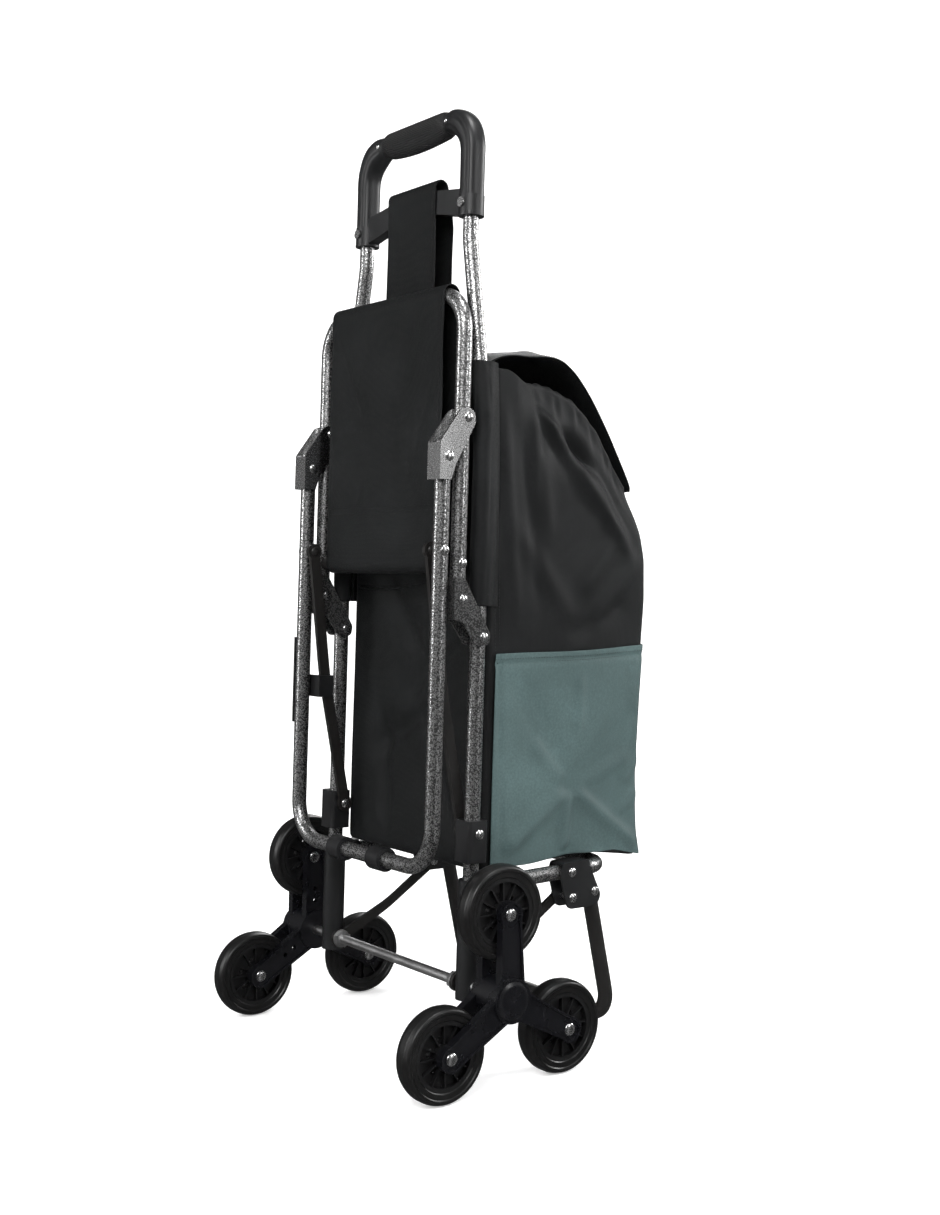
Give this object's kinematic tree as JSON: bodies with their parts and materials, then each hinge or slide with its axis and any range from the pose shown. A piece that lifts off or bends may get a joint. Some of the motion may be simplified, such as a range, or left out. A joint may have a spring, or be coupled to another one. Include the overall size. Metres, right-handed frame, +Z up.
{
  "type": "shopping trolley",
  "caption": "Folding two-sided shopping trolley: leaning tube frame with moulded handle, cloth bag, fold-out seat, rear support leg and stair-climbing wheel clusters.",
  "frame": {"origin": "on the ground, in the middle of the trolley's footprint", "axes": "+Z up, +Y towards the bag, X across the trolley"},
  "size_m": [0.409, 0.3718, 0.98],
  "materials": {
    "hammertone": "silver and black hammertone enamel",
    "dark_plate": "dark satin",
    "bright_plate": "zinc plated pressing",
    "black_paint": "satin black",
    "chrome": "bright",
    "zinc": "zinc plated",
    "tyre": "matt",
    "wheel_plastic": "semi-gloss",
    "black_plastic": "satin",
    "grip_rubber": "ribbed, matt",
    "black_cloth": "coated oxford weave",
    "teal_cloth": "coated oxford weave",
    "board": "plain sheet"
  },
  "bodies": {
    "frame": {"axle_nuts": "zinc", "axle_rod": "zinc", "bag_band": "teal_cloth", "bag_base_board": "board", "bag_body": "black_cloth", "bag_sleeve_left": "black_cloth", "bag_sleeve_right": "black_cloth", "bag_strap": "black_cloth", "brace_left": "black_paint", "brace_right": "black_paint", "frame_rivets": "chrome", "handle": "black_plastic", "handle_crossbar": "black_plastic", "handle_grip": "grip_rubber", "handle_screws": "chrome", "leg_sleeve_left": "black_plastic", "leg_sleeve_right": "black_plastic", "rack_bolts": "chrome", "rack_brackets": "black_plastic", "rack_tube": "hammertone", "support_feet": "black_plastic", "support_leg": "black_paint", "upright_collar_left": "black_plastic", "upright_collar_right": "black_plastic", "upright_left": "hammertone", "upright_right": "hammertone"},
    "seat": {"seat_frame": "hammertone", "seat_rear_bar": "black_paint", "seat_brackets": "dark_plate", "seat_rivets": "chrome", "seat_fabric": "black_cloth"},
    "legs": {"leg_frame": "hammertone", "leg_brackets": "bright_plate", "leg_rivets": "chrome", "leg_feet": "black_plastic", "fold_clip": "black_plastic"},
    "link_left": {"link_left": "black_paint"},
    "link_right": {"link_right": "black_paint"},
    "bag_flap": {"bag_flap": "black_cloth"},
    "cluster_left": {"outer_spider_left": "wheel_plastic", "inner_spider_left": "wheel_plastic", "hub_cap_left": "wheel_plastic", "wheel_bolts_left": "chrome"},
    "wheel_left_top": {"tyre_left_top": "tyre", "rim_left_top": "wheel_plastic"},
    "wheel_left_rear": {"tyre_left_rear": "tyre", "rim_left_rear": "wheel_plastic"},
    "wheel_left_front": {"tyre_left_front": "tyre", "rim_left_front": "wheel_plastic"},
    "cluster_right": {"outer_spider_right": "wheel_plastic", "inner_spider_right": "wheel_plastic", "hub_cap_right": "wheel_plastic", "wheel_bolts_right": "chrome"},
    "wheel_right_top": {"tyre_right_top": "tyre", "rim_right_top": "wheel_plastic"},
    "wheel_right_rear": {"tyre_right_rear": "tyre", "rim_right_rear": "wheel_plastic"},
    "wheel_right_front": {"tyre_right_front": "tyre", "rim_right_front": "wheel_plastic"}
  },
  "joints": [
    {"name": "seat_fold", "type": "hinge", "parent": "frame", "child": "seat", "pos_m": [0, -0.04829, 0.4372], "axis": [1, 0, 0], "range_deg": [0, 90]},
    {"name": "leg_fold", "type": "hinge", "parent": "seat", "child": "legs", "pos_m": [0, -0.06389, 0.65531], "axis": [1, 0, 0], "range_deg": [-109.56, 0]},
    {"name": "link_left_swing", "type": "hinge", "parent": "frame", "child": "link_left", "pos_m": [-0.1115, -0.05856, 0.24106], "axis": [1, 0, 0], "range_deg": [0, 70.17]},
    {"name": "link_right_swing", "type": "hinge", "parent": "frame", "child": "link_right", "pos_m": [0.1115, -0.05856, 0.24106], "axis": [1, 0, 0], "range_deg": [0, 70.17]},
    {"name": "bag_flap_open", "type": "hinge", "parent": "frame", "child": "bag_flap", "pos_m": [0, -0.01929, 0.71197], "axis": [1, 0, 0], "range_deg": [0, 60]},
    {"name": "cluster_left_spin", "type": "hinge", "parent": "frame", "child": "cluster_left", "pos_m": [-0.1825, -0.06655, 0.08867], "axis": [1, 0, 0], "continuous": true},
    {"name": "wheel_left_top_spin", "type": "hinge", "parent": "cluster_left", "child": "wheel_left_top", "pos_m": [-0.1825, -0.06655, 0.17262], "axis": [1, 0, 0], "continuous": true},
    {"name": "wheel_left_rear_spin", "type": "hinge", "parent": "cluster_left", "child": "wheel_left_rear", "pos_m": [-0.1825, -0.13925, 0.0467], "axis": [1, 0, 0], "continuous": true},
    {"name": "wheel_left_front_spin", "type": "hinge", "parent": "cluster_left", "child": "wheel_left_front", "pos_m": [-0.1825, 0.00615, 0.0467], "axis": [1, 0, 0], "continuous": true},
    {"name": "cluster_right_spin", "type": "hinge", "parent": "frame", "child": "cluster_right", "pos_m": [0.1825, -0.06655, 0.08867], "axis": [1, 0, 0], "continuous": true},
    {"name": "wheel_right_top_spin", "type": "hinge", "parent": "cluster_right", "child": "wheel_right_top", "pos_m": [0.1825, -0.06655, 0.17262], "axis": [1, 0, 0], "continuous": true},
    {"name": "wheel_right_rear_spin", "type": "hinge", "parent": "cluster_right", "child": "wheel_right_rear", "pos_m": [0.1825, -0.13925, 0.0467], "axis": [1, 0, 0], "continuous": true},
    {"name": "wheel_right_front_spin", "type": "hinge", "parent": "cluster_right", "child": "wheel_right_front", "pos_m": [0.1825, 0.00615, 0.0467], "axis": [1, 0, 0], "continuous": true}
  ],
  "couplings": [
    {"joint": "leg_fold", "follows": "seat_fold", "ratio": -1.2118},
    {"joint": "link_left_swing", "follows": "seat_fold", "ratio": 0.77411},
    {"joint": "link_right_swing", "follows": "seat_fold", "ratio": 0.77411}
  ]
}
